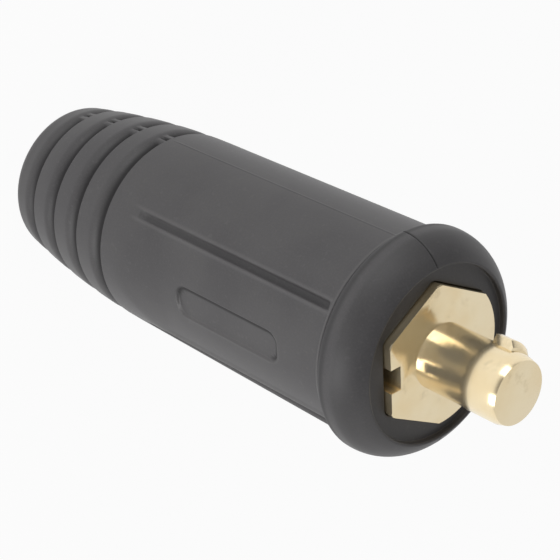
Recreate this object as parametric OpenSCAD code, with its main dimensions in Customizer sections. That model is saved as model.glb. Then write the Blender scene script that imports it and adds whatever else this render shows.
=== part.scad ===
// Welding cable plug with a bayonet pin: a moulded rubber sleeve over a turned brass contact.
// The plug stands on the flat end of its ribbed tail, with the pin pointing up.
// Angles run round the plug from +X. The sleeve's mould parts at 90 and 270 degrees.

/* [Sleeve] */
// Length from the tail's flat end to the front lip
sleeve_len = 107.2; // [100:0.1:116]
// Diameter of the tail's flat end
tail_end_d = 29; // [27:0.1:31]
// Diameter of the grip where the tail starts to narrow
grip_rear_d = 39.6; // [38.8:0.1:41]
// Diameter of the grip next to the collar
grip_front_d = 40.8; // [39.8:0.1:41.6]
// Length of the narrowing tail
tail_len = 42; // [38:0.5:46]
// Radius of the long curve that narrows the tail
tail_curve_r = 210; // [190:5:260]
// Rounding of the tail's end
tail_round_r = 2.4; // [1:0.1:3]

/* [Ribbed tail] */
// Number of grooves between the ribs
groove_count = 4; // [2:1:4]
// Distance from the tail's end to the front wall of the first groove
groove_start = 8.8; // [8:0.1:9.4]
// Distance from one groove to the next
groove_pitch = 8.5; // [7.6:0.1:8.6]
// Width of a groove's floor
groove_w = 1.7; // [1.2:0.1:2]
// Depth of a groove
groove_depth = 1.5; // [0.9:0.05:1.8]
// Radius of the corner between a groove's floor and its front wall
groove_corner_r = 0.6; // [0.3:0.05:0.8]
// Radius of the ribs' rounded front edges
rib_round_r = 3; // [2:0.1:3.4]
// Width of each web that bridges a groove beside the mould's parting line
web_w = 1.2; // [0.8:0.1:2]
// Width of the pit between a pair of webs
web_gap = 0.9; // [0.5:0.1:1.5]
// How far the webs lie below the ribs
web_drop = 0.3; // [0.2:0.05:0.4]

/* [Collar] */
// Outer diameter of the collar
collar_d = 43.9; // [43:0.1:46]
// Length of the collar from its rear edge to the lip
collar_len = 9.2; // [8.8:0.1:10.2]
// Radius of the collar's bulging front
collar_curve_r = 8.4; // [7.6:0.1:9]
// Rounding of the collar's rear edge
collar_round_r = 1.5; // [0.8:0.1:1.6]
// Width of the fine groove between grip and collar
neck_w = 0.8; // [0.5:0.1:1.2]
// Depth of that groove
neck_depth = 0.4; // [0.2:0.05:0.6]
// Inner diameter of the front lip
lip_d = 34.2; // [32:0.1:35]
// Depth of the shallow recess inside the lip
lip_depth = 1.2; // [0.6:0.1:2]
// Rounding of the lip's inner edge
lip_round_r = 0.4; // [0.2:0.05:0.6]

/* [Side reliefs] */
// Radius of the flatter faces on the two sides of the grip
relief_curve_r = 23.7; // [22.5:0.1:25]
// Distance from the axis to the middle of such a face
relief_face_x = 18.85; // [18.6:0.05:19.2]
// Half of the angle that such a face takes up
relief_half_angle = 38.5; // [34:0.5:42]
// Slope of the narrow step along its edges, measured from the radius
relief_step_slope = 62; // [45:1:70]
// Distance from the tail's end to where the faces start to run in
relief_start = 35; // [34:0.5:38]
// Length over which they run in
relief_run_in = 17; // [12:0.5:24]
// Distance from the collar's rear edge at which they stop
relief_front_gap = 1.4; // [1.3:0.1:4]
// Radius of the round channels along their edges
channel_r = 0.9; // [0.7:0.05:1.2]
// Distance from the axis to the middle of such a channel
channel_x = 20.1; // [20:0.05:20.4]
// Angle between such a channel and the middle of the face
channel_angle = 38; // [35:0.5:40]
// Distance from the start of the faces to the start of the channels
channel_lead = 8; // [2:0.5:12]
// Distance from the end of the channels to the end of the faces
channel_end_gap = 0.4; // [0.3:0.1:1]

/* [Side pads] */
// Length of the sunk pad on each side face
pad_len = 28.3; // [20:0.1:34]
// Width of the pad
pad_w = 6.5; // [6.2:0.1:9]
// Radius of the pad's corners
pad_corner_r = 2.6; // [0.8:0.1:3]
// Distance from the pad's middle back from the lip
pad_back = 36.5; // [30:0.1:42]
// Depth of the pad at its middle
pad_depth = 0.6; // [0.45:0.05:0.9]

/* [Contact] */
// Diameter of the flange, round where it has no flats
flange_d = 28.4; // [27.5:0.1:29]
// Distance from the axis to the flange's flats
flange_flat_x = 12.5; // [12.4:0.05:13]
// Thickness of the flange
flange_t = 8; // [6:0.1:9]
// How far the flange stands above the floor of the recess
flange_rise = 1.6; // [0.8:0.1:2.5]
// Chamfer on the flange's round front edge
flange_chamfer = 0.2; // [0.1:0.05:0.6]
// Width of the key notch in one flat
notch_w = 4.8; // [3:0.1:6]
// Depth of the key notch
notch_depth = 2.35; // [1:0.05:3]
// Length of the pin in front of the flange
pin_len = 18.3; // [16:0.1:22]
// Diameter of the pin's tip
pin_tip_d = 13; // [12.8:0.05:14]
// Diameter of the pin behind its tip
pin_neck_d = 12.7; // [12:0.05:12.75]
// Distance from the flange to the step where the tip starts
pin_step = 10.5; // [9:0.1:11.5]
// Length of the taper at the pin's end
pin_taper_len = 1.65; // [0.8:0.05:2.2]
// How much that taper takes off the radius
pin_taper_in = 0.45; // [0.2:0.05:0.9]

/* [Lug] */
// Distance from the axis to the lug's outer face
lug_r = 8.05; // [7.4:0.05:8.6]
// Width of the lug
lug_w = 5.4; // [3:0.1:6]
// Length of the lug along the pin
lug_len = 4.4; // [3:0.1:6.1]
// Length of the slope on the lug's front
lug_bevel = 1; // [0.4:0.1:2]
// Angle of the lug round the pin
lug_angle = 48; // [0:1:90]

/* [Cable clamp] */
// Diameter of the contact's barrel
barrel_d = 24.4; // [24.3:0.1:24.7]
// Length of the barrel behind the flange
barrel_len = 44; // [40:0.5:48]
// Chamfer on the barrel's rear end
barrel_chamfer = 0.8; // [0.3:0.1:1.5]
// Diameter of the conductor bore
conductor_bore_d = 12; // [10:0.1:12]
// Depth of the conductor bore
conductor_bore_len = 32; // [30:0.5:34]
// Diameter of the clamp screws
screw_d = 8; // [6:0.1:9]
// Length of the clamp screws
screw_len = 5; // [4:0.1:5.3]
// Distance from the barrel's rear end to the first clamp screw
screw_start = 9; // [7:0.1:10]
// Distance between the clamp screws
screw_pitch = 14; // [11:0.1:16]
// How deep the screws' rims sit below the barrel's surface
screw_recess = 0.1; // [0.05:0.05:0.3]
// Width across the flats of the screws' sockets
screw_socket_af = 4; // [2.5:0.1:4.5]
// Depth of the screws' sockets
screw_socket_depth = 2.6; // [2:0.1:3]
// Chamfer on the screws' ends
screw_chamfer = 0.5; // [0.2:0.05:0.8]

/* [Cable entry] */
// Diameter of the cable bore in the tail
cable_bore_d = 17.5; // [14:0.1:19]
// Rounding of the cable bore's mouth
cable_mouth_r = 1; // [0.4:0.1:1.5]
// Length of the cone that leads from the cable bore to the barrel's bore
cavity_cone_len = 5; // [3:0.1:8]

/* [Fits] */
// Radial clearance of the barrel in the sleeve
barrel_fit = 0.05; // [0.02:0.01:0.1]
// Clearance of the flange in its pocket
pocket_fit = 0.2; // [0.1:0.05:0.3]
// Gap under the flange and behind the barrel
seat_gap = 0.1; // [0.05:0.05:0.3]
// Radial clearance of the clamp screws in their holes
screw_fit = 0.05; // [0.02:0.01:0.1]

/* [Hidden] */
eps = 0.01;
// Facets of turned shapes, of small arcs and of the two long curves
turned_fn = 180;
arc_fn = 96;
long_arc_fn = 1440;
rubber = "dimgray";
brass = "khaki";
steel = "slategray";

// Heights above the tail's end
floor_z = sleeve_len - lip_depth;
collar_z = sleeve_len - collar_len;
face_z = floor_z + flange_rise;
flange_z = face_z - flange_t;
barrel_z = flange_z - barrel_len;
tip_z = face_z + pin_len;
bore_end_z = barrel_z + conductor_bore_len;
pad_z = sleeve_len - pad_back;
neck_z = collar_z - neck_w;
relief_end_z = collar_z - relief_front_gap;

// Radii
tail_end_r = tail_end_d / 2;
grip_rear_r = grip_rear_d / 2;
grip_front_r = grip_front_d / 2;
collar_r = collar_d / 2;
lip_r = lip_d / 2;
barrel_r = barrel_d / 2;
cavity_r = barrel_r + barrel_fit;
cable_bore_r = cable_bore_d / 2;
conductor_bore_r = conductor_bore_d / 2;
flange_r = flange_d / 2;
// The lip's crest, and the middle of the collar's curve that passes through it
lip_crest_r = lip_r + lip_round_r;
collar_curve_x = collar_r - collar_curve_r;
collar_curve_z = sleeve_len - sqrt(pow(collar_curve_r, 2) - pow(lip_crest_r - collar_curve_x, 2));

// The mould parts at these angles, and the side faces lie between them
part_angles = [90, 270];
side_angles = [0, 180];
// The flange's flats face these angles
flat_angles = [60, 120, 180, 240];
// How far above the grip's surface the side faces start to run in
run_in_lift = 0.3;
// How far the ribs' rounded edges start above their surface
rib_round_lift = 0.02;
// Half of the angle of the drill's point
drill_half_angle = 59;

// The clamp screws point along +X
screw_out_x = sqrt(pow(barrel_r, 2) - pow(screw_d / 2, 2)) - screw_recess;
screw_rear_z = barrel_z + screw_start;
screw_front_z = screw_rear_z + screw_pitch;

// Radius of the grip at a height, as if its taper ran the whole length
function grip_r(z) = grip_rear_r + (grip_front_r - grip_rear_r) * (z - tail_len) / (collar_z - tail_len);

// Radius of the ribs at a height, along the long curve of the tail
function tail_r(z) = grip_rear_r - tail_curve_r + sqrt(pow(tail_curve_r, 2) - pow(tail_len - z, 2));

// Removes the square corner at the given point and leaves it rounded
module corner_cut(at, r) {
    translate(at)
        difference() {
            translate([-r, -r])
                square(r + 1);
            translate([-r, -r])
                circle(r, $fn = arc_fn);
        }
}

// Half outline of the tail before its grooves are cut, sunk by a given drop
module tail_outline(drop) {
    intersection() {
        square([collar_r, tail_len]);
        translate([grip_rear_r - tail_curve_r - drop, tail_len])
            circle(tail_curve_r, $fn = long_arc_fn);
    }
}

// The slope from the flat end to the long curve, rounded where they meet
module tail_end_cut() {
    end_angle = atan((tail_r(tail_round_r) - tail_end_r) / tail_round_r);
    translate([tail_end_r, 0])
        rotate(-end_angle)
            translate([0, -tail_round_r])
                square([tail_end_r, 3 * tail_round_r]);
}

// Half outline of the grip, with the fine groove before the collar
module grip_outline() {
    neck_x = grip_r(neck_z) - neck_depth;
    polygon([
        [0, tail_len - eps],
        [grip_r(tail_len - eps), tail_len - eps],
        [grip_r(neck_z), neck_z],
        [neck_x, neck_z + neck_w / 2],
        [neck_x, collar_z + collar_round_r],
        [0, collar_z + collar_round_r]
    ]);
}

// Half outline of the collar, with its rounded rear edge and its bulging front
module collar_outline() {
    difference() {
        intersection() {
            translate([0, collar_z])
                square([collar_r, collar_len]);
            union() {
                translate([0, collar_z])
                    square([collar_r, collar_curve_z - collar_z + eps]);
                translate([collar_curve_x, collar_curve_z])
                    circle(collar_curve_r, $fn = 4 * arc_fn);
                translate([0, collar_z])
                    square([collar_curve_x, collar_len]);
            }
        }
        translate([collar_r, collar_z])
            mirror([0, 1])
                corner_cut([0, 0], collar_round_r);
    }
}

// Places a shape on the tail's long curve at a height, with X pointing outwards and Y along the curve
module on_curve(z) {
    translate([grip_rear_r - tail_curve_r, tail_len])
        rotate(-asin((tail_len - z) / tail_curve_r))
            translate([tail_curve_r, 0])
                children();
}

// One groove: a flat floor with a steep front wall, behind it the rounded front edge of a rib
module groove_cut(z) {
    round_len = sqrt(pow(rib_round_r, 2) - pow(rib_round_r - groove_depth, 2));
    cut_len = groove_w + round_len;
    difference() {
        on_curve(z) {
            translate([-groove_depth, -cut_len])
                square([2 * groove_depth, cut_len - groove_corner_r]);
            translate([groove_corner_r - groove_depth, -cut_len])
                square([2 * groove_depth, cut_len]);
            translate([groove_corner_r - groove_depth, -groove_corner_r])
                circle(groove_corner_r, $fn = arc_fn);
        }
        on_curve(z - cut_len)
            translate([rib_round_lift - rib_round_r, 0])
                circle(rib_round_r, $fn = 4 * arc_fn);
    }
}

// Half outline of the whole sleeve before it is hollowed
module sleeve_outline() {
    difference() {
        union() {
            tail_outline(0);
            grip_outline();
            collar_outline();
        }
        tail_end_cut();
        for (i = [0:groove_count - 1])
            groove_cut(groove_start + i * groove_pitch);
    }
}

// Pairs of webs that bridge the grooves beside the mould's parting line
module webs() {
    last_z = groove_start + (groove_count - 1) * groove_pitch;
    intersection() {
        rotate_extrude($fn = turned_fn)
            difference() {
                tail_outline(web_drop);
                square([cable_bore_r + 1, tail_len]);
            }
        for (side = [-1, 1])
            translate([side * (web_gap + web_w) / 2 - web_w / 2, -collar_r, groove_start - rib_round_r])
                cube([web_w, collar_d, last_z - groove_start + rib_round_r]);
    }
}

// What a flatter side face takes off the grip, for the side that faces +X
module side_relief() {
    relief_len = relief_end_z - relief_start;
    // the curve's middle lies beyond the axis, on the far side
    curve_x = relief_face_x - relief_curve_r;
    run_in_r = relief_curve_r + (grip_rear_r - relief_face_x) + run_in_lift;
    edge_x = grip_front_r * cos(relief_half_angle);
    edge_y = grip_front_r * sin(relief_half_angle);
    difference() {
        intersection() {
            translate([0, -collar_r, relief_start])
                cube([collar_r, collar_d, relief_len]);
            // the narrow steps along both edges
            for (side = [-1, 1])
                translate([edge_x, side * edge_y, relief_start])
                    rotate(side * (relief_half_angle + relief_step_slope))
                        translate([-collar_d, side > 0 ? -collar_d : 0, -eps])
                            cube([2 * collar_d, collar_d, relief_len + 2 * eps]);
        }
        translate([curve_x, 0, relief_start - eps])
            cylinder(h = relief_len + 2 * eps, r = relief_curve_r, $fn = 4 * turned_fn);
        translate([curve_x, 0, relief_start - eps])
            cylinder(h = relief_run_in, r1 = run_in_r, r2 = relief_curve_r, $fn = 4 * turned_fn);
    }
}

// Round channels along both edges of the side face that faces +X
module edge_channels() {
    channel_z = relief_start + channel_lead;
    for (side = [-1, 1])
        rotate(side * channel_angle)
            translate([channel_x, 0, channel_z])
                cylinder(h = relief_end_z - channel_end_gap - channel_z, r = channel_r, $fn = arc_fn);
}

// The sunk pad on the side that faces +X
module side_pad() {
    translate([relief_face_x - pad_depth, 0, pad_z])
        rotate([0, 90, 0])
            linear_extrude(collar_r)
                difference() {
                    square([pad_len, pad_w], center = true);
                    for (sx = [0, 1], sy = [0, 1])
                        mirror([sx, 0])
                            mirror([0, sy])
                                corner_cut([pad_len / 2, pad_w / 2], pad_corner_r);
                }
}

// Half outline of everything turned out of the sleeve's inside
module sleeve_hollow() {
    cone_top = barrel_z - seat_gap;
    polygon([
        [0, -1],
        [cable_bore_r, -1],
        [cable_bore_r, cone_top - cavity_cone_len],
        [cavity_r, cone_top],
        [cavity_r, flange_z],
        [0, flange_z]
    ]);
    // rounded mouth of the cable bore
    translate([cable_bore_r - eps, -eps])
        difference() {
            square(cable_mouth_r);
            translate([cable_mouth_r + eps, cable_mouth_r + eps])
                circle(cable_mouth_r, $fn = arc_fn);
        }
    // shallow recess inside the lip, with its edge rounded
    translate([0, floor_z])
        square([lip_r, lip_depth + 1]);
    translate([lip_r - eps, sleeve_len - lip_round_r])
        difference() {
            square([lip_round_r, lip_round_r + 1]);
            translate([lip_round_r + eps, 0])
                circle(lip_round_r, $fn = arc_fn);
        }
}

// Round disc with the flange's flats, larger by a given fit
module flange_blank(z, h, fit) {
    translate([0, 0, z])
        difference() {
            cylinder(h = h, r = flange_r + fit, $fn = turned_fn);
            for (a = flat_angles)
                rotate(a)
                    translate([flange_flat_x + fit, -flange_r, -1])
                        cube([flange_r, flange_d, h + 2]);
        }
}

module insulating_sleeve() {
    color(rubber)
        difference() {
            union() {
                rotate_extrude($fn = turned_fn)
                    sleeve_outline();
                webs();
            }
            for (a = side_angles)
                rotate(a) {
                    side_relief();
                    edge_channels();
                    side_pad();
                }
            rotate_extrude($fn = turned_fn)
                sleeve_hollow();
            // pocket for the flange
            flange_blank(flange_z - seat_gap, flange_t, pocket_fit);
        }
}

// Half outline of the barrel and the pin
module contact_outline() {
    polygon([
        [0, barrel_z],
        [barrel_r - barrel_chamfer, barrel_z],
        [barrel_r, barrel_z + barrel_chamfer],
        [barrel_r, flange_z + 1],
        [pin_neck_d / 2, flange_z + 1],
        [pin_neck_d / 2, face_z + pin_step],
        [pin_tip_d / 2, face_z + pin_step],
        [pin_tip_d / 2, tip_z - pin_taper_len],
        [pin_tip_d / 2 - pin_taper_in, tip_z],
        [0, tip_z]
    ]);
}

// Flange with its chamfered front edge and a key notch in the flat at 180 degrees
module flange() {
    difference() {
        intersection() {
            flange_blank(flange_z, flange_t, 0);
            union() {
                translate([0, 0, flange_z])
                    cylinder(h = flange_t - flange_chamfer, r = flange_r + 1, $fn = turned_fn);
                translate([0, 0, face_z - flange_chamfer])
                    cylinder(h = flange_chamfer, r1 = flange_r, r2 = flange_r - flange_chamfer, $fn = turned_fn);
            }
        }
        translate([-flange_r, -notch_w / 2, flange_z - 1])
            cube([flange_r - flange_flat_x + notch_depth, notch_w, flange_t + 2]);
    }
}

// Bayonet lug at the pin's tip, with a sloping front
module lug() {
    lug_z = face_z + pin_step;
    lug_in = pin_neck_d / 4;
    rotate(lug_angle)
        intersection() {
            translate([lug_in, -lug_w / 2, lug_z])
                cube([lug_r, lug_w, lug_len]);
            union() {
                translate([0, 0, lug_z])
                    cylinder(h = lug_len - lug_bevel, r = lug_r, $fn = turned_fn);
                translate([0, 0, lug_z + lug_len - lug_bevel])
                    cylinder(h = lug_bevel, r1 = lug_r, r2 = lug_r - lug_bevel, $fn = turned_fn);
            }
        }
}

module contact_pin() {
    drill_tip_len = conductor_bore_r / tan(drill_half_angle);
    color(brass)
        difference() {
            union() {
                rotate_extrude($fn = turned_fn)
                    contact_outline();
                flange();
                lug();
            }
            // blind conductor bore with the drill's pointed end and a chamfered mouth
            translate([0, 0, barrel_z - 1])
                cylinder(h = conductor_bore_len + 1, r = conductor_bore_r, $fn = turned_fn);
            translate([0, 0, bore_end_z])
                cylinder(h = drill_tip_len, r1 = conductor_bore_r, r2 = 0, $fn = turned_fn);
            translate([0, 0, barrel_z - eps])
                cylinder(h = barrel_chamfer, r1 = conductor_bore_r + barrel_chamfer, r2 = conductor_bore_r,
                         $fn = turned_fn);
            for (z = [screw_rear_z, screw_front_z])
                translate([0, 0, z])
                    rotate([0, 90, 0])
                        cylinder(h = barrel_r + 1, r = screw_d / 2 + screw_fit, $fn = turned_fn);
        }
}

// Hexagon-socket clamp screw with its outer end just below the barrel's surface
module clamp_screw(z) {
    tip_x = screw_out_x - screw_len;
    color(steel)
        translate([tip_x, 0, z])
            rotate([0, 90, 0])
                difference() {
                    rotate_extrude($fn = turned_fn)
                        polygon([
                            [0, 0],
                            [screw_d / 2 - screw_chamfer, 0],
                            [screw_d / 2, screw_chamfer],
                            [screw_d / 2, screw_len - screw_chamfer],
                            [screw_d / 2 - screw_chamfer, screw_len],
                            [0, screw_len]
                        ]);
                    translate([0, 0, screw_len - screw_socket_depth])
                        cylinder(h = screw_socket_depth + 1, r = screw_socket_af / 2 / cos(30), $fn = 6);
                }
}

module clamp_screw_rear() {
    clamp_screw(screw_rear_z);
}

module clamp_screw_front() {
    clamp_screw(screw_front_z);
}

insulating_sleeve();
contact_pin();
clamp_screw_rear();
clamp_screw_front();
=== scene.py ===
# %% [markdown]
# # Welding cable plug
# This plug joins a welding cable to a machine. A ribbed rubber sleeve covers a turned brass contact,
# and the contact's pin carries a small lug that locks in its socket with a quarter turn.
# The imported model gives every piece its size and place. This file gives the pieces their finish:
# it remakes the rubber sleeve from a rule, breaks the brass edges, and lights the plug like a
# catalogue picture on a white ground.

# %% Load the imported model
import math

import bmesh
import bpy
import numpy as np
from mathutils import Matrix, Vector


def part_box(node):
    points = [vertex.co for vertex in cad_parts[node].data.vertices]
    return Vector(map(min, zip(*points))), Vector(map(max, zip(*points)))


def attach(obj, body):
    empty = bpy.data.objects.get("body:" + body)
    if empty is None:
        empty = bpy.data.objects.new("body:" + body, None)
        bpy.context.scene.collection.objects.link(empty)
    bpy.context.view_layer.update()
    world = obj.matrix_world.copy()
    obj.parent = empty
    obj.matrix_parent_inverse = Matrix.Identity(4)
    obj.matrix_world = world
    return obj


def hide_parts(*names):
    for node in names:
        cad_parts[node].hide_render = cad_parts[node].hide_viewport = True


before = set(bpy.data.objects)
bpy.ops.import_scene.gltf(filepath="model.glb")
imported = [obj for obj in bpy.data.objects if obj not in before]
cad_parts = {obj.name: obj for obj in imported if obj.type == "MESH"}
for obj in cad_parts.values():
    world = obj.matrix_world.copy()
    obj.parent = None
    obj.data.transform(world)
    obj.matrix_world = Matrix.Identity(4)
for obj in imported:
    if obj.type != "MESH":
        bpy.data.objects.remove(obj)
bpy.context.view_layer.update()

MM = 0.001
print("nodes:", sorted(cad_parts))

# %% [markdown]
# ## Camera
# The picture looks down on the front of the plug, along its side, and the camera is rolled so that
# the standing plug seems to lie across the picture. A long lens keeps the perspective flat.
# The place and the two directions below come from matching the plug's outline and the corners
# of its brass flange. A camera in Blender looks along its own -Z, so the third axis points back.

# %% Camera
camera_place_mm = Vector((-217.64, 184.49, 319.25))
camera_right = Vector((0.73927, -0.05302, 0.67131))
camera_up = Vector((0.36014, 0.87348, -0.32761))
lens_mm = 128.17
sensor_mm = 36.0


def add_camera():
    """Makes the camera from its place and its two picture directions."""
    data = bpy.data.cameras.new("photo_camera")
    data.lens = lens_mm
    data.sensor_width = sensor_mm
    data.clip_start = 0.01
    data.clip_end = 20.0
    camera = bpy.data.objects.new("photo_camera", data)
    bpy.context.scene.collection.objects.link(camera)
    right = camera_right.normalized()
    back = right.cross(camera_up).normalized()
    up = back.cross(right)
    turn = Matrix((right, up, back)).transposed().to_4x4()
    camera.matrix_world = Matrix.Translation(camera_place_mm * MM) @ turn
    bpy.context.scene.camera = camera
    return camera


camera = add_camera()
print("camera", [round(value, 4) for value in camera.location], "lens", lens_mm)

# %% [markdown]
# ## Arithmetic that becomes nodes
# The sleeve and the finishes follow formulas. A formula made of Math nodes is hard to read when each
# node is added by hand, so a small class stands for one number that the nodes work out at each point.
# Adding or multiplying two such numbers adds a Math node, and the formulas below then read like
# plain arithmetic. The same class serves Geometry Nodes and materials.


# %% Fields and their functions
class Field:
    """A number worked out by nodes, given by the socket that carries it."""

    def __init__(self, socket):
        self.socket = socket

    def __add__(self, other):
        return calc("ADD", self, other)

    def __radd__(self, other):
        return calc("ADD", other, self)

    def __sub__(self, other):
        return calc("SUBTRACT", self, other)

    def __rsub__(self, other):
        return calc("SUBTRACT", other, self)

    def __mul__(self, other):
        return calc("MULTIPLY", self, other)

    def __rmul__(self, other):
        return calc("MULTIPLY", other, self)

    def __truediv__(self, other):
        return calc("DIVIDE", self, other)

    def __rtruediv__(self, other):
        return calc("DIVIDE", other, self)

    def __neg__(self):
        return calc("MULTIPLY", self, -1.0)


def plug_in(node, key, value):
    """Gives an input of a node its value, which is a field, a socket or a plain number."""
    socket = node.inputs[key]
    if isinstance(value, Field):
        node.id_data.links.new(value.socket, socket)
    elif isinstance(value, bpy.types.NodeSocket):
        node.id_data.links.new(value, socket)
    else:
        socket.default_value = value


def calc(operation, *values):
    """Adds one Math node to the tree that its fields live in."""
    tree = next(value.socket.id_data for value in values if isinstance(value, Field))
    node = tree.nodes.new("ShaderNodeMath")
    node.operation = operation
    for key, value in enumerate(values):
        plug_in(node, key, value)
    return Field(node.outputs[0])


def rise(value, low, high):
    """Smooth step: 0 below low, 1 above high."""
    tree = value.socket.id_data
    node = tree.nodes.new("ShaderNodeMapRange")
    node.interpolation_type = "SMOOTHSTEP"
    plug_in(node, "Value", value)
    plug_in(node, "From Min", low)
    plug_in(node, "From Max", high)
    return Field(node.outputs["Result"])


def blend(factor, first, second):
    """The first number where the factor is 0, the second where it is 1."""
    return first + factor * (second - first)


def size_of(x):
    return calc("ABSOLUTE", x)


def cosine(degrees):
    return calc("COSINE", degrees * (math.pi / 180))


def sine(degrees):
    return calc("SINE", degrees * (math.pi / 180))


def root(x):
    return calc("SQRT", calc("MAXIMUM", x, 0.0))


print("field functions ready")

# %% [markdown]
# ## The sleeve's sizes
# The sleeve is one rubber moulding, and its sizes here are those of the solid that it replaces,
# in millimetres. Heights count from the flat end of the tail, where the cable goes in.
# Angles go round the plug in degrees. The mould parts at 90 and 270, and the two flatter
# faces of the grip lie at 0 and 180.

# %% Sleeve sizes
sleeve_low, sleeve_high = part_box("insulating_sleeve")
contact_low, contact_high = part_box("contact_pin")
sleeve_len = sleeve_high.z / MM
collar_r = sleeve_high.x / MM
tip_z = contact_high.z / MM

tail_end_r = 14.5
grip_rear_r = 19.8
grip_front_r = 20.4
tail_len = 42.0
tail_curve_r = 210.0
tail_round_z = 2.4
collar_z = sleeve_len - 9.2
collar_curve_r = 8.4
collar_round_r = 1.5
neck_w = 0.8
neck_depth = 0.4
lip_r = 17.1
lip_round_r = 0.4
floor_z = sleeve_len - 1.2
pocket_z = 99.5
pocket_r = 14.4
pocket_flat_r = 12.7
cavity_r = 12.25
cavity_end_z = 55.5
cable_bore_r = 8.75
cable_mouth_r = 1.0
cone_len = 5.0

sleeve_rule = {
    "Groove Count": 4,
    "Groove Start": 8.8,
    "Groove Pitch": 8.5,
    "Groove Width": 1.7,
    "Groove Depth": 1.5,
    "Groove Corner": 0.6,
    "Rib Rounding": 3.0,
    "Pit Width": 0.9,
    "Web Width": 1.2,
    "Web Drop": 0.3,
    "Face Radius": 23.7,
    "Face Distance": 18.85,
    "Face Half Angle": 38.5,
    "Step Slope": 62.0,
    "Grip Front Radius": grip_front_r,
    "Run-in Start": 35.0,
    "Run-in Length": 17.0,
    "Run-in Lift": 1.25,
    "Face End": 96.6,
    "Channel Radius": 0.9,
    "Channel Distance": 20.1,
    "Channel Angle": 38.0,
    "Channel Start": 43.0,
    "Channel End": 96.2,
    "Pad Height": sleeve_len - 36.5,
    "Pad Length": 28.3,
    "Pad Width": 6.5,
    "Pad Corner": 2.6,
    "Pad Depth": 0.6,
    "Pocket Radius": pocket_r,
    "Pocket Flat": pocket_flat_r,
    "Flash Height": 0.06,
    "Seam Depth": 0.28,
    "Collar Height": collar_z,
}
print("sleeve length", round(sleeve_len, 2), "collar radius", round(collar_r, 2))

# %% [markdown]
# ## The sleeve's outline, as a closed loop
# Cut the sleeve along its axis and one half shows a closed outline: up the tail and the grip, round the
# collar and its lip, across the shallow recess, down the pocket that holds the brass flange, and back
# through the cavity and the cable bore. Lofting that loop round the axis gives a closed skin of
# quads with no poles. The rows lie close together where the shape turns quickly, such as at the
# grooves, and wide apart on the plain stretches.


# %% Outline helpers
def tail_radius(z):
    """Radius of the narrowing tail, along its long curve."""
    return grip_rear_r - tail_curve_r + math.sqrt(tail_curve_r ** 2 - (tail_len - z) ** 2)


def body_radius(z):
    """Radius of the tail and the grip before anything is cut into them."""
    if z < tail_len:
        return tail_radius(z)
    return grip_rear_r + (grip_front_r - grip_rear_r) * (z - tail_len) / (collar_z - tail_len)


def arc(centre, radius, start, end, count):
    """Points on an arc, as (radius, height) pairs, from one angle in degrees to another."""
    points = []
    for k in range(count):
        turn = math.radians(start + (end - start) * k / (count - 1))
        points.append((centre[0] + radius * math.cos(turn), centre[1] + radius * math.sin(turn)))
    return points


def line(first, last, count):
    """Points between two ends, with both ends left out."""
    steps = [k / (count + 1) for k in range(1, count + 1)]
    return [tuple(a + (b - a) * t for a, b in zip(first, last)) for t in steps]


def spread(low, high, count, focuses):
    """Places count values from low to high, closer together near each (place, reach, strength)."""
    fine = np.linspace(low, high, 20001)
    weight = np.ones_like(fine)
    for place, reach, strength in focuses:
        weight += strength * np.exp(-(((fine - place) / reach) ** 2))
    total = np.concatenate([[0.0], np.cumsum((weight[1:] + weight[:-1]) / 2 * np.diff(fine))])
    return [float(v) for v in np.interp(np.linspace(0, total[-1], count), total, fine)]


print("tail radius at the first groove", round(tail_radius(sleeve_rule["Groove Start"]), 2))

# %% Rows of the outer skin
# distances from a groove's front wall at which rows lie, closest together at the wall itself
groove_row_offsets = [
    -4.7, -4.3, -4.0, -3.7, -3.4, -3.1, -2.8, -2.5, -2.25, -2.0, -1.8, -1.6, -1.4, -1.1, -0.8, -0.6,
    -0.48, -0.38, -0.3, -0.24, -0.18, -0.13, -0.09, -0.05, -0.01, 0.03, 0.07, 0.12, 0.2, 0.4, 0.9, 1.6, 2.4, 3.1,
]
# the rubber's rows on the grip gather at the pads' ends and at the front end of the flat faces
pad_end_gap = sleeve_rule["Pad Length"] / 2
grip_focuses = [
    (sleeve_rule["Pad Height"] - pad_end_gap, 1.4, 5.0),
    (sleeve_rule["Pad Height"] + pad_end_gap, 1.4, 5.0),
    (sleeve_rule["Face End"], 0.3, 14.0),
    (sleeve_rule["Channel Start"], 0.4, 9.0),
]
grip_row_count = 66


def skin_heights():
    """Heights of the rows from the end of the tail to the fine groove at the neck."""
    heights = [tail_round_z]
    for k in range(sleeve_rule["Groove Count"]):
        middle = sleeve_rule["Groove Start"] + k * sleeve_rule["Groove Pitch"]
        heights += [middle + offset for offset in groove_row_offsets]
    top = collar_z - neck_w - 0.1
    heights += spread(heights[-1] + 0.6, top, grip_row_count, grip_focuses)
    return heights


heights = skin_heights()
print("rows on tail and grip:", len(heights), "from", heights[0], "to", round(heights[-1], 2))


# %% The whole loop
# each entry is (radius, height, skin, pocket): skin is 1 where grooves and faces are cut,
# pocket is 1 where the radius follows the flats of the flange's pocket
edge_r = 0.2


def tagged(points, skin=0.0, pocket=0.0):
    return [(r, z, skin, pocket) for r, z in points]


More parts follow.
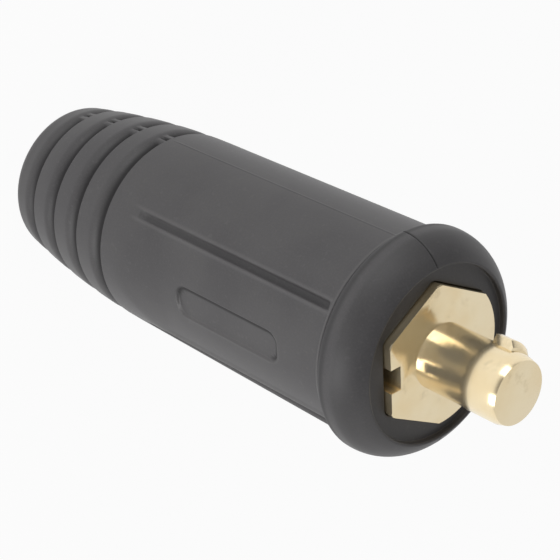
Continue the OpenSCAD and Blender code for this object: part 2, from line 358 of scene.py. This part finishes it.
def sleeve_loop():
    """The closed outline of the sleeve's wall, starting at the outer edge of the tail's end."""
    loop = []
    # the rounded end of the tail, a smooth curve from the flat face to the skin
    end_r = tail_radius(tail_round_z)
    for k in range(8):
        t = k / 8
        r = (1 - t) ** 2 * (tail_end_r - 0.2) + 2 * t * (1 - t) * (end_r - 0.25) + t ** 2 * end_r
        z = 2 * t * (1 - t) * 0.25 + t ** 2 * tail_round_z
        loop.append((r, z, 0.0, 0.0))
    loop += tagged([(body_radius(z), z) for z in heights], skin=1.0)
    # the fine groove at the neck, then the collar's rounded rear edge
    neck_z = collar_z - neck_w
    neck_r = body_radius(neck_z)
    floor_r = neck_r - neck_depth
    loop += tagged([(neck_r, neck_z - 0.03), (neck_r - 0.04, neck_z + 0.02)])
    loop += tagged([(floor_r + 0.08, neck_z + neck_w / 2 - 0.08), (floor_r, neck_z + neck_w / 2 + 0.04)])
    loop += tagged([(floor_r, collar_z - 0.12), (floor_r + 0.05, collar_z - 0.02), (floor_r + 0.16, collar_z)])
    loop += tagged(arc((collar_r - collar_round_r, collar_z + collar_round_r), collar_round_r, 270, 360, 10))
    # the bulging front, up to the crest of the lip
    crest_r = lip_r + lip_round_r
    bulge_x = collar_r - collar_curve_r
    bulge_z = sleeve_len - math.sqrt(collar_curve_r ** 2 - (crest_r - bulge_x) ** 2)
    crest_angle = math.degrees(math.acos((crest_r - bulge_x) / collar_curve_r))
    loop += tagged(line((collar_r, collar_z + collar_round_r), (collar_r, bulge_z), 1))
    loop += tagged(arc((bulge_x, bulge_z), collar_curve_r, 0, crest_angle, 30))
    loop += tagged(arc((crest_r, sleeve_len - lip_round_r), lip_round_r, 105, 180, 6)[1:])
    # the recess inside the lip, and its floor as far as the pocket
    loop += tagged(arc((lip_r - edge_r, floor_z + edge_r), edge_r, 360, 270, 4))
    for k, (r, z) in enumerate(line((lip_r - edge_r, floor_z), (pocket_r + edge_r, floor_z), 5)):
        loop.append((r, z, 0.0, (k + 1) / 6))
    loop += tagged(arc((pocket_r + edge_r, floor_z - edge_r), edge_r, 90, 180, 4), pocket=1.0)
    loop += tagged(line((pocket_r, floor_z - edge_r), (pocket_r, pocket_z + edge_r), 4), pocket=1.0)
    loop += tagged(arc((pocket_r - edge_r, pocket_z + edge_r), edge_r, 360, 270, 3), pocket=1.0)
    # the seat behind the flange, the cavity of the barrel and the cone to the cable bore
    loop += tagged([(cavity_r + edge_r / 2, pocket_z), (cavity_r, pocket_z - edge_r)])
    loop += tagged(line((cavity_r, pocket_z), (cavity_r, cavity_end_z), 6))
    loop += tagged([(cavity_r, cavity_end_z)])
    loop += tagged(line((cavity_r, cavity_end_z), (cable_bore_r, cavity_end_z - cone_len), 2))
    loop += tagged([(cable_bore_r, cavity_end_z - cone_len)])
    loop += tagged(line((cable_bore_r, cavity_end_z - cone_len), (cable_bore_r, cable_mouth_r), 6))
    loop += tagged(arc((cable_bore_r + cable_mouth_r, cable_mouth_r), cable_mouth_r, 180, 270, 8))
    loop += tagged(line((cable_bore_r + cable_mouth_r, 0.0), (tail_end_r - 0.2, 0.0), 3))
    return loop


loop = sleeve_loop()
print("rows in the loop:", len(loop))

# %% [markdown]
# ## Columns round the sleeve
# One quarter of the turn is laid out and mirrored three times, so the sleeve is as symmetric as its
# mould. The columns gather at the parting line with its webs, along the edges of the flatter
# faces and at the pads' long sides.

# %% Columns and the plain skin
quarter_columns = 76
quarter_focuses = [(9.9, 1.6, 4.0), (8.0, 1.5, 2.0), (38.0, 2.2, 9.0),
                   (84.3, 0.8, 5.0), (88.5, 0.6, 6.0), (90.0, 0.5, 14.0)]


def column_angles():
    """Angles of the columns round the whole turn, in degrees."""
    quarter = spread(0.0, 90.0, quarter_columns, quarter_focuses)
    half = quarter + [180.0 - a for a in reversed(quarter[:-1])]
    return half + [360.0 - a for a in reversed(half[1:-1])]


def loft(name, rows, angles, extra):
    """Makes a closed skin of quads; each point keeps its angle, height, radius and tags as attributes."""
    row_count, column_count = len(rows), len(angles)
    faces = []
    for i in range(row_count):
        for j in range(column_count):
            down, up = i * column_count, (i + 1) % row_count * column_count
            faces.append((down + j, down + (j + 1) % column_count, up + (j + 1) % column_count, up + j))
    mesh = bpy.data.meshes.new(name)
    points = [(row[0] * MM * math.cos(math.radians(a)), row[0] * MM * math.sin(math.radians(a)), row[1] * MM)
              for row in rows for a in angles]
    mesh.from_pydata(points, [], faces)
    columns = {"angle": [a for _ in rows for a in angles]}
    for key, label in enumerate(extra):
        columns[label] = [row[key] for row in rows for _ in angles]
    for label, values in columns.items():
        mesh.attributes.new(label, "FLOAT", "POINT").data.foreach_set("value", values)
    piece = bpy.data.objects.new(name, mesh)
    bpy.context.scene.collection.objects.link(piece)
    return piece


angles = column_angles()
sleeve = loft("rubber_sleeve", loop, angles, ["radius", "height", "skin", "pocket"])
print("columns:", len(angles), "quads:", len(sleeve.data.polygons))

# %% [markdown]
# ## The rule that shapes the sleeve
# Geometry Nodes reads each point's angle, height and plain radius and works out the radius that the
# moulding has there. Each groove has a steep front wall, and the rib behind it has a rounded edge. Two
# flatter faces, each with a narrow step along its edges, are kept by taking the larger of face and
# step and then the smaller of that and the round grip. A round channel runs along each edge of the
# faces, and a rounded rectangle is sunk into the middle of each.
# Webs bridge the grooves on both sides of the parting line, with a pit between them, and the mould
# leaves a fine flash line on the body and a seam on the collar. A formula in nodes can be changed by
# one number, where a sculpted mesh would have to be made again.


# %% Node tree helpers
def new_tree(name, sizes):
    """Starts a geometry tree with one number input for each size; returns it with its input fields."""
    tree = bpy.data.node_groups.new(name, "GeometryNodeTree")
    tree.interface.new_socket("Geometry", in_out="INPUT", socket_type="NodeSocketGeometry")
    tree.interface.new_socket("Geometry", in_out="OUTPUT", socket_type="NodeSocketGeometry")
    for label, value in sizes.items():
        socket = tree.interface.new_socket(label, in_out="INPUT", socket_type="NodeSocketFloat")
        socket.default_value = value
    entry = tree.nodes.new("NodeGroupInput")
    fields = {label: Field(entry.outputs[label]) for label in sizes}
    return tree, entry.outputs["Geometry"], fields


def named(tree, label):
    """The value of a point's own attribute."""
    node = tree.nodes.new("GeometryNodeInputNamedAttribute")
    node.data_type = "FLOAT"
    node.inputs["Name"].default_value = label
    return Field(node.outputs["Attribute"])


def keep(tree, geometry, label, value):
    """Stores a number on the points, for the materials."""
    node = tree.nodes.new("GeometryNodeStoreNamedAttribute")
    node.data_type = "FLOAT"
    node.domain = "POINT"
    plug_in(node, "Geometry", geometry)
    node.inputs["Name"].default_value = label
    plug_in(node, "Value", value)
    return node.outputs["Geometry"]


def place_round(tree, geometry, radius, angle, height):
    """Moves the points to a radius, an angle and a height that are given in millimetres and degrees."""
    place = tree.nodes.new("ShaderNodeCombineXYZ")
    plug_in(place, "X", radius * cosine(angle) * MM)
    plug_in(place, "Y", radius * sine(angle) * MM)
    plug_in(place, "Z", height * MM)
    node = tree.nodes.new("GeometryNodeSetPosition")
    plug_in(node, "Geometry", geometry)
    plug_in(node, "Position", place.outputs["Vector"])
    return node.outputs["Geometry"]


def end_tree(tree, geometry, material):
    """Ends a tree: smooth faces, real geometry and its material."""
    smooth = tree.nodes.new("GeometryNodeSetShadeSmooth")
    plug_in(smooth, "Geometry", geometry)
    real = tree.nodes.new("GeometryNodeRealizeInstances")
    plug_in(real, "Geometry", smooth.outputs["Geometry"])
    finish = tree.nodes.new("GeometryNodeSetMaterial")
    plug_in(finish, "Geometry", real.outputs["Geometry"])
    finish.inputs["Material"].default_value = material
    leave = tree.nodes.new("NodeGroupOutput")
    plug_in(leave, "Geometry", finish.outputs["Geometry"])


def run_tree(piece, tree, sizes):
    """Runs a tree on a piece and leaves the result as the piece's plain mesh."""
    modifier = piece.modifiers.new(tree.name, "NODES")
    modifier.node_group = tree
    for item in tree.interface.items_tree:
        if item.in_out == "INPUT" and item.name in sizes:
            modifier[item.identifier] = float(sizes[item.name])
    depsgraph = bpy.context.evaluated_depsgraph_get()
    result = bpy.data.meshes.new_from_object(
        piece.evaluated_get(depsgraph), preserve_all_data_layers=True, depsgraph=depsgraph)
    piece.modifiers.clear()
    plain = piece.data
    piece.data = result
    bpy.data.meshes.remove(plain)
    result.name = piece.name
    return piece


print("tree helpers ready")


# %% The grooves, the rounded ribs and the webs
def groove_cut(size, angle, height, radius):
    """How deep the grooves cut at a point, with the webs beside the parting line left standing."""
    depth = size["Groove Depth"]
    round_r = size["Rib Rounding"]
    round_len = root(round_r * round_r - calc("POWER", round_r - depth, 2.0))
    step = (height - size["Groove Start"]) / size["Groove Pitch"]
    index = calc("MINIMUM", calc("MAXIMUM", calc("CEIL", step - 0.02), 0.0), size["Groove Count"] - 1.0)
    behind = size["Groove Start"] + index * size["Groove Pitch"] - height
    # from the tail to the front: the rib's rounded edge, the floor, the filleted corner and the wall
    along = round_len - (behind - size["Groove Width"])
    rounded = round_r - root(round_r * round_r - calc("POWER", calc("MAXIMUM", along, 0.0), 2.0))
    corner = size["Groove Corner"]
    into_corner = calc("MAXIMUM", corner - behind, 0.0)
    floor = depth - corner + root(corner * corner - into_corner * into_corner)
    cut = calc("MINIMUM", calc("MINIMUM", rounded, depth), floor)
    cut = cut * rise(behind, -0.02, 0.06) * calc("GREATER_THAN", along, 0.0)
    # the webs stand where the distance from the parting plane is between pit and outer edge
    aside = size_of(radius * cosine(angle))
    pit = size["Pit Width"] / 2.0
    web = rise(aside, pit - 0.1, pit + 0.1) * (1.0 - rise(aside, pit + size["Web Width"] - 0.1,
                                                         pit + size["Web Width"] + 0.1))
    return blend(web, cut, calc("MINIMUM", cut, size["Web Drop"])), aside


# %% The flatter faces with their steps and pads
def flat_side(size, angle, height, radius):
    """Radius of the grip with its two flatter faces, what the pads and channels take off, a mask of painted shade
    and a mask of painted highlight.
    """
    aside = size_of(calc("FLOORED_MODULO", angle + 90.0, 180.0) - 90.0)
    run_in = 1.0 - (height - size["Run-in Start"]) / size["Run-in Length"]
    face_r = size["Face Radius"] + size["Run-in Lift"] * calc("MINIMUM", calc("MAXIMUM", run_in, 0.0), 1.0)
    offset = size["Face Distance"] - size["Face Radius"]
    face = offset * cosine(aside) + root(face_r * face_r - calc("POWER", offset * sine(aside), 2.0))
    turn = size["Face Half Angle"] + size["Step Slope"]
    step = size["Grip Front Radius"] * sine(size["Step Slope"]) / sine(turn - aside)
    side = calc("SMOOTH_MAX", face, step, 0.12)
    within = rise(height, size["Run-in Start"] - 0.5, size["Run-in Start"])
    within = within * (1.0 - rise(height, size["Face End"] - 0.15, size["Face End"] + 0.15))
    shaped = blend(within, radius, calc("SMOOTH_MIN", radius, side, 0.12))
    # distance to the edge of the pad's rounded rectangle, below 0 inside it
    along = size_of(height - size["Pad Height"]) - (size["Pad Length"] / 2.0 - size["Pad Corner"])
    across = size_of(shaped * sine(aside)) - (size["Pad Width"] / 2.0 - size["Pad Corner"])
    corner = root(calc("POWER", calc("MAXIMUM", along, 0.0), 2.0) + calc("POWER", calc("MAXIMUM", across, 0.0), 2.0))
    edge = corner + calc("MINIMUM", calc("MAXIMUM", along, across), 0.0) - size["Pad Corner"]
    floor = (size["Face Distance"] - size["Pad Depth"]) / calc("MAXIMUM", cosine(aside), 0.5)
    inside = (1.0 - rise(edge, -0.22, 0.12)) * calc("LESS_THAN", aside, 45.0)
    sunk = inside * calc("MAXIMUM", shaped - floor, 0.0)
    # the round channels along the two edges of the face
    turned = aside - size["Channel Angle"]
    reach = size["Channel Distance"] * sine(turned)
    room = root(size["Channel Radius"] * size["Channel Radius"] - reach * reach)
    bottom = size["Channel Distance"] * cosine(turned) - room
    open_here = calc("LESS_THAN", size_of(reach), size["Channel Radius"] - 0.01)
    open_here = open_here * rise(height, size["Channel Start"], size["Channel Start"] + 1.2)
    open_here = open_here * (1.0 - rise(height, size["Channel End"] - 0.15, size["Channel End"] + 0.15))
    channel = open_here * calc("MAXIMUM", shaped - bottom, 0.0)
    # painted shadow: a dark line inside each pad along its edge on the +Y side and at its front end, where the pad's
    # wall would shade its floor; the channels are painted darker as painted shade too
    upper = rise(sine(angle) * shaped, -1.0, 2.0)
    front = rise(height - size["Pad Height"] - size["Pad Length"] / 2.0, -3.0, -1.0)
    pad_edge_shadow = inside * (1.0 - rise(size_of(edge + 0.3), 0.25, 0.65)) * calc("MAXIMUM", upper, front)
    shade = calc("MAXIMUM", pad_edge_shadow, rise(channel, 0.25, 0.9) * 0.55)
    # painted highlight: light lines along both lips of each channel and on the pad's wall on the -Y side, as if they
    # caught the light; the material also makes them a little smoother
    edge_highlight = 1.0 - rise(size_of(size_of(turned) - 3.3), 0.3, 1.3)
    edge_highlight = edge_highlight * rise(height, size["Channel Start"] - 3.0, size["Channel Start"]) * calc(
        "LESS_THAN", height, size["Face End"])
    lower_wall_highlight = (1.0 - rise(size_of(edge), 0.2, 0.5)) * (1.0 - upper) * calc("LESS_THAN", aside, 45.0)
    edge_highlight = calc("MAXIMUM", edge_highlight, lower_wall_highlight)
    return shaped, calc("MAXIMUM", sunk, channel), shade, edge_highlight


# %% [markdown]
# ## Rubber
# The sleeve is charcoal rubber with a satin skin from the mould. Its colour is nearly even, so the
# finish comes from small things: a fine grain in the skin and slow waves from shrinking. On top of that,
# shade and light are painted in: the grooves, the channels, the pad's upper edge, the collar's seam and
# two bands on the collar are painted darker, and the channels' lips, the pads' lower walls and a line at
# the neck are painted lighter and made a little smoother. The shape tree stores both masks, and the material reads
# them.


# %% Material helpers
def new_material(name):
    """A material with an empty tree, its shader and its output."""
    material = bpy.data.materials.new(name)
    material.use_nodes = True
    tree = material.node_tree
    tree.nodes.clear()
    shader = tree.nodes.new("ShaderNodeBsdfPrincipled")
    output = tree.nodes.new("ShaderNodeOutputMaterial")
    tree.links.new(shader.outputs["BSDF"], output.inputs["Surface"])
    return material, tree, shader


def object_place(tree):
    """Object coordinates as three fields and as one vector socket."""
    where = tree.nodes.new("ShaderNodeTexCoord")
    parts = tree.nodes.new("ShaderNodeSeparateXYZ")
    tree.links.new(where.outputs["Object"], parts.inputs["Vector"])
    fields = [Field(parts.outputs[axis]) for axis in "XYZ"]
    return where, fields


def noise(tree, place, scale, detail=2.0, roughness=0.5, lines=False):
    """Noise on a vector, or along one number for lines; scale is in waves per metre."""
    node = tree.nodes.new("ShaderNodeTexNoise")
    node.noise_dimensions = "1D" if lines else "3D"
    plug_in(node, "W" if lines else "Vector", place)
    node.inputs["Scale"].default_value = scale
    node.inputs["Detail"].default_value = detail
    node.inputs["Roughness"].default_value = roughness
    return Field(node.outputs["Fac"])


def tint(tree, factor, first, second):
    """Mixes two colours by a field."""
    node = tree.nodes.new("ShaderNodeMix")
    node.data_type = "RGBA"
    plug_in(node, "Factor", factor)
    colours = [socket for socket in node.inputs if socket.type == "RGBA"]
    for socket, colour in zip(colours, (first, second)):
        if isinstance(colour, bpy.types.NodeSocket):
            tree.links.new(colour, socket)
        else:
            socket.default_value = (*colour, 1.0)
    return next(socket for socket in node.outputs if socket.type == "RGBA")


def bump(tree, height, depth_mm, strength, under=None):
    """Bends the light as if the surface rose by a depth; a second bump is laid over the one under it."""
    node = tree.nodes.new("ShaderNodeBump")
    node.inputs["Strength"].default_value = strength
    node.inputs["Distance"].default_value = depth_mm * MM
    plug_in(node, "Height", height)
    if under is not None:
        plug_in(node, "Normal", under)
    return node.outputs["Normal"]


def read(tree, label):
    """An attribute that a shape tree stored on the mesh."""
    node = tree.nodes.new("ShaderNodeAttribute")
    node.attribute_name = label
    return Field(node.outputs["Fac"])


print("material helpers ready")

# %% Rubber material
rubber_colour = (0.076, 0.073, 0.076)
rubber_light = (0.090, 0.087, 0.089)
# this pale tone serves both the grain and specks and the painted highlights, and the darkest tone below is painted
# shade
rubber_grain_and_highlight = (0.132, 0.127, 0.128)
rubber_painted_shade = (0.016, 0.015, 0.016)


def rubber_material():
    """Charcoal moulded rubber, with painted shade in the grooves and recesses and painted highlights on some edges.
    """
    material, tree, shader = new_material("charcoal_rubber")
    where, _ = object_place(tree)
    place = where.outputs["Object"]
    # two masks from the shape tree: painted shade and painted highlight
    depth = read(tree, "sunk")
    painted_highlight = read(tree, "highlight_mask")
    cloud = noise(tree, place, 55.0, 3.0)
    grain = noise(tree, place, 2600.0, 3.0, 0.65)
    specks = rise(noise(tree, place, 900.0, 1.0), 0.66, 0.74)
    colour = tint(tree, rise(cloud, 0.35, 0.65), rubber_colour, rubber_light)
    colour = tint(tree, rise(grain + cloud * 0.25, 0.5, 0.95) * 0.35, colour, rubber_grain_and_highlight)
    colour = tint(tree, specks * 0.25, colour, rubber_grain_and_highlight)
    # painted shade, then painted highlight
    colour = tint(tree, depth * 0.85, colour, rubber_painted_shade)
    colour = tint(tree, painted_highlight * (0.45 + 0.4 * cloud), colour, rubber_grain_and_highlight)
    plug_in(shader, "Base Color", colour)
    rough = 0.46 + 0.16 * (grain - 0.5) + 0.1 * (cloud - 0.5) + 0.14 * depth - 0.08 * painted_highlight
    plug_in(shader, "Roughness", rough)
    waves = noise(tree, place, 120.0, 1.0)
    normal = bump(tree, waves, 0.35, 0.18)
    normal = bump(tree, grain, 0.05, 0.30, normal)
    plug_in(shader, "Normal", normal)
    shader.inputs["Specular IOR Level"].default_value = 0.42
    return material


rubber = rubber_material()
print("rubber nodes:", len(rubber.node_tree.nodes))


# %% Shape the sleeve
def sleeve_tree(material):
    """The whole rule: plain radius in, moulded shape out, with masks of painted shade and painted highlight stored
    on the points.
    """
    tree, geometry, size = new_tree("sleeve_rule", sleeve_rule)
    angle = named(tree, "angle")
    height = named(tree, "height")
    plain = named(tree, "radius")
    skin = named(tree, "skin")
    cut, aside = groove_cut(size, angle, height, plain)
    grooved = plain - cut
    shaped, sunk, shade, edge_highlight = flat_side(size, angle, height, plain)
    on_tail = 1.0 - rise(height, size["Run-in Start"] - 0.5, size["Run-in Start"])
    moulded = blend(on_tail, shaped - sunk, grooved)
    # the mould's parting line: a fine flash on the grip, a fine seam on the collar
    line_width = 1.0 - rise(aside, 0.05, 0.24)
    on_grip = rise(height, size["Run-in Start"], size["Run-in Start"] + 2.0)
    moulded = moulded + line_width * on_grip * size["Flash Height"]
    on_collar = calc("GREATER_THAN", height, size["Collar Height"] + 0.3) * calc("GREATER_THAN", plain, 17.6)
    outside = blend(skin, plain - line_width * on_collar * size["Seam Depth"], moulded)
    # the pocket's wall follows the flats of the flange
    to_flat = size_of(calc("FLOORED_MODULO", angle + 30.0, 60.0) - 30.0)
    flat_r = size["Pocket Flat"] / cosine(to_flat)
    beside = calc("GREATER_THAN", angle, 30.0) * calc("LESS_THAN", angle, 270.0)
    narrow = calc("MAXIMUM", size["Pocket Radius"] - flat_r, 0.0) * beside
    radius = outside - narrow * named(tree, "pocket")
    geometry = place_round(tree, geometry, radius, angle, height)
    # painted shade: the deeper a point lies in a groove, the darker it is painted
    depth = rise(cut * on_tail / size["Groove Depth"], 0.12, 1.0)
    seam = line_width * on_collar * (1.0 - skin)
    # painted shade: a dark band just in front of the neck groove and a fainter one further up the collar
    from_neck = height - size["Collar Height"]
    collar_shade = rise(from_neck, -0.3, 0.2) * (1.0 - rise(from_neck, 1.6, 2.6))
    crown_shade = rise(from_neck, 3.2, 4.4) * (1.0 - rise(from_neck, 5.5, 8.0))
    collar_shade = calc("MAXIMUM", collar_shade, crown_shade * 0.5) * 0.6
    # painted highlight: a light line on the grip just behind the neck groove
    neck_highlight = 1.0 - rise(size_of(from_neck + 1.05), 0.1, 0.4)
    # the painted shade mask joins the grooves, channels and pad edges on the grip with the seam line and the bands
    # on the collar, and is stored as "sunk"
    depth = calc("MAXIMUM", calc("MAXIMUM", depth, shade) * skin, calc("MAXIMUM", seam * 0.9, collar_shade))
    geometry = keep(tree, geometry, "sunk", depth)
    # the painted highlight mask: the channel lips, the pads' lower walls and the line at the neck, kept off the
    # painted shade and the tail
    painted_highlight = calc("MAXIMUM", edge_highlight, neck_highlight) * (1.0 - shade) * (1.0 - on_tail) * skin
    geometry = keep(tree, geometry, "highlight_mask", painted_highlight * 0.9)
    end_tree(tree, geometry, material)
    return tree


run_tree(sleeve, sleeve_tree(rubber), sleeve_rule)
for label in ("angle", "height", "radius", "skin", "pocket"):
    sleeve.data.attributes.remove(sleeve.data.attributes[label])
print("sleeve quads:", len(sleeve.data.polygons), "attributes:", [a.name for a in sleeve.data.attributes][:6])

# %% [markdown]
# ## Brass
# The contact is turned from pale brass bar, so its skin has fine rings left by the tool: along the
# length on round surfaces, and round the centre on faces. The rings are noise along one number,
# the height on sides and the radius on faces. Handling and air give it faint warm and dull
# clouds, and the finish is bright but not polished.

# %% Brass material
brass_pale = (0.95, 0.82, 0.57)
brass_warm = (0.91, 0.74, 0.46)
brass_dull = (0.58, 0.46, 0.27)


def brass_material():
    """Bright turned brass with tool rings, faint clouds and slightly dull patches."""
    material, tree, shader = new_material("turned_brass")
    where, (x, y, z) = object_place(tree)
    place = where.outputs["Object"]
    facing = tree.nodes.new("ShaderNodeSeparateXYZ")
    tree.links.new(where.outputs["Normal"], facing.inputs["Vector"])
    on_face = rise(size_of(Field(facing.outputs["Z"])), 0.6, 0.9)
    ring_place = blend(on_face, z, root(x * x + y * y))
    fine = noise(tree, ring_place, 3200.0, 2.0, 0.6, lines=True)
    coarse = noise(tree, ring_place, 700.0, 2.0, 0.5, lines=True)
    cloud = noise(tree, place, 90.0, 3.0)
    stain = rise(noise(tree, place, 260.0, 4.0, 0.6), 0.55, 0.72)
    colour = tint(tree, rise(cloud, 0.35, 0.7), brass_pale, brass_warm)
    colour = tint(tree, stain * 0.3, colour, brass_dull)
    plug_in(shader, "Base Color", colour)
    shader.inputs["Metallic"].default_value = 0.85
    plug_in(shader, "Roughness", 0.19 + 0.08 * (fine - 0.5) + 0.08 * stain + 0.04 * (cloud - 0.5))
    normal = bump(tree, coarse, 0.02, 0.2)
    normal = bump(tree, fine, 0.01, 0.25, normal)
    plug_in(shader, "Normal", normal)
    return material


brass = brass_material()
print("brass nodes:", len(brass.node_tree.nodes))

# %% [markdown]
# ## The contact
# The solid of the contact already has the right shape, but its edges are perfectly sharp, and a real
# turned edge catches the light because it is broken. A copy of the solid's mesh is merged into one
# closed skin, its flat faces are joined, and a small bevel follows every sharp edge.

# %% Contact with broken edges
edge_break_mm = 0.06
smooth_angle = math.radians(28)


def merged_copy(node_name, piece_name):
    """A copy of a node's mesh with its loose triangles merged and its flat faces joined."""
    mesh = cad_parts[node_name].data.copy()
    mesh.name = piece_name
    work = bmesh.new()
    work.from_mesh(mesh)
    bmesh.ops.remove_doubles(work, verts=work.verts, dist=0.002 * MM)
    bmesh.ops.dissolve_limit(work, angle_limit=math.radians(0.4), verts=work.verts, edges=work.edges)
    work.to_mesh(mesh)
    work.free()
    mesh.materials.clear()
    piece = bpy.data.objects.new(piece_name, mesh)
    bpy.context.scene.collection.objects.link(piece)
    return piece


def break_edges(piece, width_mm):
    """Bevels the sharp edges and leaves the result as the piece's mesh, smooth between its edges."""
    bevel = piece.modifiers.new("edge_break", "BEVEL")
    bevel.width = width_mm * MM
    bevel.segments = 2
    bevel.limit_method = "ANGLE"
    bevel.angle_limit = smooth_angle
    bevel.harden_normals = False
    depsgraph = bpy.context.evaluated_depsgraph_get()
    result = bpy.data.meshes.new_from_object(piece.evaluated_get(depsgraph), depsgraph=depsgraph)
    piece.modifiers.clear()
    piece.data = result
    result.shade_smooth()
    result.set_sharp_from_angle(angle=math.radians(35))
    return piece


contact = merged_copy("contact_pin", "brass_contact")
break_edges(contact, edge_break_mm)
contact.data.materials.append(brass)
print("contact faces:", len(contact.data.polygons))

# %% [markdown]
# ## Clamp screws
# Two grub screws clamp the cable's strands inside the barrel. They are out of sight under the rubber,
# so they keep their plain solids and take a zinc-plated finish: grey, slightly cloudy, fairly dull.


# %% Steel material
def steel_material():
    """Zinc-plated steel with faint clouds."""
    material, tree, shader = new_material("zinc_plated_steel")
    where, _ = object_place(tree)
    cloud = noise(tree, where.outputs["Object"], 700.0, 3.0)
    plug_in(shader, "Base Color", tint(tree, cloud, (0.40, 0.41, 0.43), (0.56, 0.57, 0.58)))
    shader.inputs["Metallic"].default_value = 1.0
    plug_in(shader, "Roughness", 0.3 + 0.2 * cloud)
    plug_in(shader, "Normal", bump(tree, noise(tree, where.outputs["Object"], 5000.0), 0.01, 0.3))
    return material


steel = steel_material()
for name in ("clamp_screw_rear", "clamp_screw_front"):
    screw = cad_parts[name]
    for slot in screw.material_slots:
        slot.material = steel
    print(name, "takes", steel.name)

# %% [markdown]
# ## Riding and replacing
# Each new piece is tied to the body that it moves with, and stands in for one solid.

# %% Tie the pieces to their bodies
for piece, node, slot_name in ((sleeve, "insulating_sleeve", "rubber"), (contact, "contact_pin", "brass")):
    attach(piece, "plug")
    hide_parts(node)
    print(piece.name, "replaces", node)

# %% [markdown]
# ## Studio
# The picture is a catalogue cut-out: even, soft light and a pure white ground. The floor and the
# world are white to the camera and in reflections, and the floor also takes a little plain light, so
# that the plug's soft shadow stays on it. Two soft lamps stand low on both sides of the camera, so
# the plug's sides are a little brighter than its middle and the grooves keep their shade.


# %% Floor and world
def light_path(tree):
    """Two numbers: 1 for rays straight from the camera, and 1 for mirrored or refracted ones."""
    path = tree.nodes.new("ShaderNodeLightPath")
    bent = calc("MAXIMUM", Field(path.outputs["Is Glossy Ray"]), Field(path.outputs["Is Transmission Ray"]))
    return Field(path.outputs["Is Camera Ray"]), bent


def add_floor():
    """A large pale floor under the tail."""
    mesh = bpy.data.meshes.new("studio_floor")
    half = 3.0
    mesh.from_pydata([(-half, -half, 0), (half, -half, 0), (half, half, 0), (-half, half, 0)], [], [(0, 1, 2, 3)])
    floor = bpy.data.objects.new("studio_floor", mesh)
    bpy.context.scene.collection.objects.link(floor)
    material = bpy.data.materials.new("white_ground")
    material.use_nodes = True
    tree = material.node_tree
    tree.nodes.clear()
    plain = tree.nodes.new("ShaderNodeBsdfDiffuse")
    plain.inputs["Color"].default_value = (0.9, 0.9, 0.9, 1.0)
    glow = tree.nodes.new("ShaderNodeEmission")
    glow.inputs["Strength"].default_value = 1.0
    mix = tree.nodes.new("ShaderNodeMixShader")
    straight, bent = light_path(tree)
    plug_in(mix, "Fac", calc("MAXIMUM", straight, bent) * 0.95)
    tree.links.new(plain.outputs["BSDF"], mix.inputs[1])
    tree.links.new(glow.outputs["Emission"], mix.inputs[2])
    output = tree.nodes.new("ShaderNodeOutputMaterial")
    tree.links.new(mix.outputs["Shader"], output.inputs["Surface"])
    mesh.materials.append(material)
    return floor


ambient_side = 0.65
ambient_top_loss = 0.55
mirrored_dark = 0.30


def add_world():
    """White to the camera and in reflections; its light on the plug is stronger from the sides."""
    world = bpy.data.worlds.new("white_studio")
    world.use_nodes = True
    tree = world.node_tree
    tree.nodes.clear()
    background = tree.nodes.new("ShaderNodeBackground")
    where = tree.nodes.new("ShaderNodeTexCoord")
    parts = tree.nodes.new("ShaderNodeSeparateXYZ")
    tree.links.new(where.outputs["Generated"], parts.inputs["Vector"])
    up = size_of(Field(parts.outputs["Z"]))
    ambient = ambient_side - ambient_top_loss * up
    above = rise(Field(parts.outputs["Z"]), -0.1, 0.2)
    beside = rise(Field(parts.outputs["Y"]) - 0.5 * Field(parts.outputs["X"]), -0.5, -0.1)
    mirrored = blend(above * beside, 1.0, mirrored_dark)
    straight, bent = light_path(tree)
    plug_in(background, "Strength", blend(straight, blend(bent, ambient, mirrored), 1.0))
    output = tree.nodes.new("ShaderNodeOutputWorld")
    tree.links.new(background.outputs["Background"], output.inputs["Surface"])
    bpy.context.scene.world = world
    return world


floor = add_floor()
world = add_world()
print("floor and world ready")

# %% Lamps
scene = bpy.context.scene
scene.view_settings.view_transform = "Standard"
plug_middle = Vector((0.0, 0.0, tip_z / 2 * MM))


def add_softbox(name, place, width, watts):
    """A square soft lamp that looks at the middle of the plug."""
    data = bpy.data.lights.new(name, "AREA")
    data.shape = "SQUARE"
    data.size = width
    data.energy = watts
    lamp = bpy.data.objects.new(name, data)
    lamp.location = place
    lamp.rotation_euler = (plug_middle - Vector(place)).to_track_quat("-Z", "Y").to_euler()
    scene.collection.objects.link(lamp)
    return lamp


back = camera_right.cross(camera_up).normalized()


def from_side(azimuth, height, distance):
    """A place at an angle round the plug, at a height above the floor, in metres."""
    turn = math.radians(azimuth)
    return Vector((distance * math.cos(turn), distance * math.sin(turn), height))


add_softbox("key_softbox", from_side(96.0, 0.18, 0.55), 0.34, 0.92)
add_softbox("fill_softbox", from_side(192.0, 0.15, 0.55), 0.30, 1.2)
print("lamps ready")
